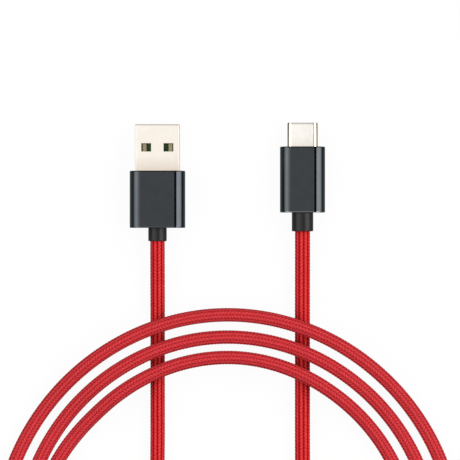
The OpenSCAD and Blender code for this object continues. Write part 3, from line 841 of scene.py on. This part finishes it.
def make_housing(name, plug, painted_highlight):
    """Anodised sleeve with a chamfer at the back, which takes that much painted highlight, and a
    softened front lip with painted shade along its broad sides."""

    def outline(inset):
        return rounded_outline(
            plug.width - 2 * inset, plug.height - 2 * inset, HOUSING_CORNER - inset
        )

    hole = circle(HOLE_RADIUS)
    chamfer_end = plug.rear + CHAMFER_REACH
    # Painted shade along the broad sides of the front lip.
    lip_painted_shade = [w - 1 for w in narrow_side_mask()]
    stations = [
        (plug.rear, hole, 0.0),
        (plug.rear, outline(CHAMFER + CHAMFER_SOFTNESS), 0.0),
        (plug.rear, outline(CHAMFER), painted_highlight),
        (plug.rear + GUARD, outline(CHAMFER - CHAMFER_SOFTNESS), painted_highlight),
        (chamfer_end - NARROW_GUARD, outline(GUARD_INSET), painted_highlight),
        (chamfer_end, outline(0.0), painted_highlight / 2),
        (chamfer_end + GUARD, outline(0.0), 0.0),
        (plug.front - FRONT_LIP - NARROW_GUARD, outline(0.0), 0.0),
        *rounded_edge(plug.front, outline, FRONT_LIP, lip_painted_shade),
        (plug.front, outline(HOUSING_WALL - INNER_CHAMFER), lip_painted_shade),
        (plug.front - INNER_CHAMFER, outline(HOUSING_WALL), 0.0),
        (plug.rear + REAR_WALL, outline(HOUSING_WALL), 0.0),
        (plug.rear + REAR_WALL, hole, 0.0),
    ]
    return loft(
        name,
        stations,
        (plug.x, plug.z),
        MATERIALS["housing_aluminium"],
        # Painted dark reflection on the narrow sides.
        side=narrow_side_mask(0.6, 0.75),
    )


USB_A_COLLAR_RADIUS = 2.5
USB_C_COLLAR_RADIUS = 2.9
BORE_CLEARANCE = 0.02
NECK_CLEARANCE = 0.05
FLANGE_CLEARANCE = 0.1
MOUTH_STEPS = 6
MOUTH_ROUNDING = 0.18
MOUTH_DEPTH = 0.25
MOUTH_GUARD = 0.6
# How far the strain relief draws in where it meets the housing: along it and across it.
COLLAR_FOOT = (0.12, 0.1)


def make_collar(name, plug, radius):
    """Strain relief with a softened mouth, a neck through the housing and a flange inside."""
    bore = CORD_RADIUS + BORE_CLEARANCE
    neck = HOLE_RADIUS - NECK_CLEARANCE
    flange = plug.height / 2 - HOUSING_WALL - FLANGE_CLEARANCE
    stations = [(plug.exit + MOUTH_DEPTH, circle(bore), 0.0)]
    for k in range(MOUTH_STEPS + 1):
        a = math.radians(180 * k / MOUTH_STEPS)
        ring = (radius + bore) / 2 - (radius - bore) / 2 * math.cos(a)
        stations.append((plug.exit + MOUTH_ROUNDING * (1 - math.sin(a)), circle(ring), 0.0))
    stations += [
        (plug.exit + MOUTH_GUARD, circle(radius), 0.0),
        (plug.rear - COLLAR_FOOT[0], circle(radius), 0.0),
        (plug.rear, circle(radius - COLLAR_FOOT[1]), 0.0),
        (plug.rear, circle(neck), 0.0),
        (plug.rear + REAR_WALL, circle(neck), 0.0),
        (plug.rear + REAR_WALL, circle(flange), 0.0),
        (plug.collar_front, circle(flange), 0.0),
        (plug.collar_front, circle(bore), 0.0),
    ]
    return loft(name, stations, (plug.x, plug.z), MATERIALS["collar_rubber"])


def corners_only(rise, fall):
    """A mask for each point of an outline, used for painted shade round the corners: it rises from
    its broad sides into its corners and falls again on its narrow sides, each between two values
    of how far the point faces along X."""
    return [a * (1 - b) for a, b in zip(narrow_side_mask(*rise), narrow_side_mask(*fall))]


SHELL_A_CORNER = 0.25
SHELL_A_WALL = 0.3
SHELL_C_WALL = 0.2
LIP_STEPS = 8
LIP_BRASS = 0.3
# Painted shade round the shell's corners: first the darker gold-brown, then the side colour, each
# rising and falling with how far a point faces along X.
PAINTED_SHADE_CORNERS = ((0.05, 0.75), (0.93, 1.0))
SIDE_CORNERS = ((0.4, 0.55), (0.78, 0.92))
# How far in front of the housing the darkest stain ends and the lighter one begins.
GRIP_REACH = (0.05, 0.35)
# Where the mouth starts to roll in, behind the tip: outside from where to where and by what
# share of the roll in the end, and inside from where to where and by what share.
ROLL_OUTSIDE = (0.9, 0.45, 0.3)
ROLL_INSIDE = (1.0, 0.6, 0.5)


def make_shell(name, plug, material, corner, wall, rolled, corner_shade, stain, grip, fade):
    """Drawn sleeve whose mouth is rolled in a little at the tip. It has a stain in front of the
    housing, as far as the fade, most where the housing grips it, and painted shade round its
    corners, as much as corner_shade says."""
    # Painted shade round the corners, also kept under the stain and on the lip.
    sides = [corner_shade * w for w in corners_only(*PAINTED_SHADE_CORNERS)]
    lip = [max(LIP_BRASS, w) for w in sides]
    stain_and_corner_shade = [max(stain, w) for w in sides]
    grip_stain_and_corner_shade = [max(grip, w) for w in sides]

    def outline(inset):
        return rounded_outline(
            plug.shell_width - 2 * inset, plug.shell_height - 2 * inset, corner - inset
        )

    front = []
    for k in range(LIP_STEPS + 1):
        a = math.radians(180 * k / LIP_STEPS)
        inset = rolled + wall / 2 - wall / 2 * math.cos(a)
        front.append((plug.tip - wall / 2 * (1 - math.sin(a)), outline(inset), lip))
    stations = [
        (plug.shell_rear, outline(wall), 0.0),
        (plug.shell_rear, outline(0.0), grip_stain_and_corner_shade),
        (plug.front + GRIP_REACH[0], outline(0.0), grip_stain_and_corner_shade),
        (plug.front + GRIP_REACH[1], outline(0.0), stain_and_corner_shade),
        (plug.front + fade, outline(0.0), sides),
        (plug.tip - ROLL_OUTSIDE[0], outline(0.0), sides),
        (plug.tip - ROLL_OUTSIDE[1], outline(rolled * ROLL_OUTSIDE[2]), sides),
        *front,
        (plug.tip - ROLL_INSIDE[1], outline(wall + rolled * ROLL_INSIDE[2]), 0.0),
        (plug.tip - ROLL_INSIDE[0], outline(wall), 0.0),
    ]
    return loft(
        name,
        stations,
        (plug.x, plug.z),
        material,
        # Painted shade round the corners.
        side=corners_only(*SIDE_CORNERS),
    )


WINDOW = (2.65, 2.25)
WINDOW_X = 3.0
WINDOW_FROM_TIP = 6.2
CUTTER_EXCESS = 2


def cut_windows(shell, plug):
    """Two windows through each broad side of the USB-A shell."""
    shape = bmesh.new()
    for side in (-1, 1):
        made = bmesh.ops.create_cube(shape, size=1.0)["verts"]
        for vert in made:
            vert.co = Vector(
                (
                    (plug.x + side * WINDOW_X + vert.co.x * WINDOW[0]) * MM,
                    (plug.tip - WINDOW_FROM_TIP + vert.co.y * WINDOW[1]) * MM,
                    (plug.z + vert.co.z * (plug.shell_height + CUTTER_EXCESS)) * MM,
                )
            )
    mesh = bpy.data.meshes.new("window_cutter")
    shape.to_mesh(mesh)
    shape.free()
    cutter = bpy.data.objects.new("window_cutter", mesh)
    bpy.context.scene.collection.objects.link(cutter)
    cut = shell.modifiers.new("windows", "BOOLEAN")
    cut.operation = "DIFFERENCE"
    cut.solver = "EXACT"
    cut.object = cutter
    settle(shell)
    bpy.data.objects.remove(cutter)
    smooth_by_angle(shell, SHARP_ANGLE)


def settle(piece):
    """Applies a piece's modifiers to its mesh."""
    graph = bpy.context.evaluated_depsgraph_get()
    settled = bpy.data.meshes.new_from_object(piece.evaluated_get(graph))
    piece.modifiers.clear()
    piece.data = settled


# ---------------------------------------------------------------- stage


FLOOR_REACH = 3.0
# Level with the lowest yarn.
FLOOR_LEVEL = -0.16


def make_floor():
    """Plain white sheet, which neither lights the cable nor shows in its reflections."""
    mesh = bpy.data.meshes.new("floor")
    reach = FLOOR_REACH
    mesh.from_pydata(
        [(-reach, -reach, 0), (reach, -reach, 0), (reach, reach, 0), (-reach, reach, 0)],
        [],
        [(0, 1, 2, 3)],
    )
    mesh.materials.append(floor_material())
    floor = bpy.data.objects.new("floor", mesh)
    floor.location.z = FLOOR_LEVEL * MM
    floor.visible_diffuse = False
    floor.visible_glossy = False
    bpy.context.scene.collection.objects.link(floor)


# Brightness of the studio round the object by its angle from straight up, in
# degrees towards +X: soft boxes on both sides and a dark card beside the right one.
STUDIO_SIDEWAYS = [
    (-90, 0.45),
    (-79, 0.45),
    (-71, 2.2),
    (-52, 3.6),
    (-38, 3.3),
    (-27, 2.0),
    (-16, 1.4),
    (-6, 1.06),
    (-1, 1.00),
    (5, 1.15),
    (6.5, 0.01),
    (26, 0.01),
    (29.5, 4.0),
    (45, 4.8),
    (69, 4.2),
    (84, 2.0),
    (90, 0.4),
]
# The same along Y, as a share: darker on the coil's side.
STUDIO_LENGTHWISE = [
    (-90, 0.02),
    (-62, 0.12),
    (-30, 0.72),
    (-8, 1.0),
    (8, 1.0),
    (14, 0.6),
    (26, 0.65),
    (50, 0.7),
    (74, 0.25),
    (90, 0.1),
]
STUDIO_PEAK = 5.0
BACKDROP_BRIGHTNESS = 1.0
TABLE_SHADE = 0.2


def angle_ramp(nodes, across, up, stops, peak):
    """A brightness by the angle of a direction from straight up."""
    angle = nodes.math("ARCTAN2", across, up)
    ramp_node = nodes.add(
        "ValToRGB", Fac=nodes.range(angle, -math.pi / 2, math.pi / 2, 0.0, 1.0)
    )
    elements = ramp_node.color_ramp.elements
    while len(elements) < len(stops):
        elements.new(0.5)
    for element, (degrees, value) in zip(elements, stops):
        element.position = (degrees + 90) / 180
        element.color = (*[value / peak] * 3, 1)
    return nodes.math("MULTIPLY", ramp_node.outputs["Color"], peak)


def make_light():
    """A studio of soft boxes painted on the sky, and a plain backdrop where the camera sees it."""
    world = bpy.data.worlds.new("studio")
    world.use_nodes = True
    nodes = Nodes.for_tree(world.node_tree)
    direction = nodes.add(
        "SeparateXYZ", Vector=nodes.add("TexCoord").outputs["Generated"]
    ).outputs
    sideways = angle_ramp(nodes, direction["X"], direction["Z"], STUDIO_SIDEWAYS, STUDIO_PEAK)
    height = nodes.math("ABSOLUTE", direction["Z"])
    lengthwise = angle_ramp(nodes, direction["Y"], height, STUDIO_LENGTHWISE, 1.0)
    studio = nodes.math("MULTIPLY", sideways, lengthwise)
    # The table keeps light off the undersides of dull pieces.
    path = nodes.add("LightPath").outputs
    below = nodes.math("LESS_THAN", direction["Z"], 0.0)
    shaded = nodes.math("MULTIPLY", below, path["Is Diffuse Ray"])
    studio = nodes.math("MULTIPLY", studio, nodes.range(shaded, 0, 1, 1, TABLE_SHADE))
    strength = nodes.range(path["Is Camera Ray"], 0, 1, studio, BACKDROP_BRIGHTNESS)
    nodes.feed(world.node_tree.nodes["Background"].inputs["Strength"], strength)
    world.node_tree.nodes["Background"].inputs["Color"].default_value = (1, 1, 1, 1)
    bpy.context.scene.world = world
    bpy.context.scene.view_settings.view_transform = "Standard"


# ---------------------------------------------------------------- assembly

make_camera()
dress_cad_nodes()
make_cord()

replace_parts(make_housing("usb_a_housing_sleeve", USB_A, painted_highlight=0.3), "usb_a_housing")
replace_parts(make_housing("usb_c_housing_sleeve", USB_C, painted_highlight=1.0), "usb_c_housing")
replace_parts(make_collar("usb_a_strain_relief", USB_A, USB_A_COLLAR_RADIUS), "usb_a_collar")
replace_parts(make_collar("usb_c_strain_relief", USB_C, USB_C_COLLAR_RADIUS), "usb_c_collar")
shell_a = make_shell(
    "usb_a_plug_shell",
    USB_A,
    MATERIALS["shell_metal"],
    SHELL_A_CORNER,
    SHELL_A_WALL,
    rolled=0.0,
    corner_shade=1.0,
    stain=0.34,
    grip=0.5,
    fade=4.0,
)
cut_windows(shell_a, USB_A)
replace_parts(shell_a, "usb_a_shell")
whiter_gilt = gilt_material(
    "whiter_gilt",
    light=(0.985, 0.955, 0.90),
    dark=(0.965, 0.925, 0.865),
    line=(0.945, 0.895, 0.80),
    # Painted shade round the shell's corners.
    side=(0.42, 0.36, 0.28),
)
shell_c = make_shell(
    "usb_c_plug_shell",
    USB_C,
    whiter_gilt,
    USB_C.shell_height / 2,
    SHELL_C_WALL,
    rolled=0.05,
    corner_shade=0.3,
    stain=0.18,
    grip=0.38,
    fade=3.2,
)
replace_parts(shell_c, "usb_c_shell")

make_floor()
make_light()
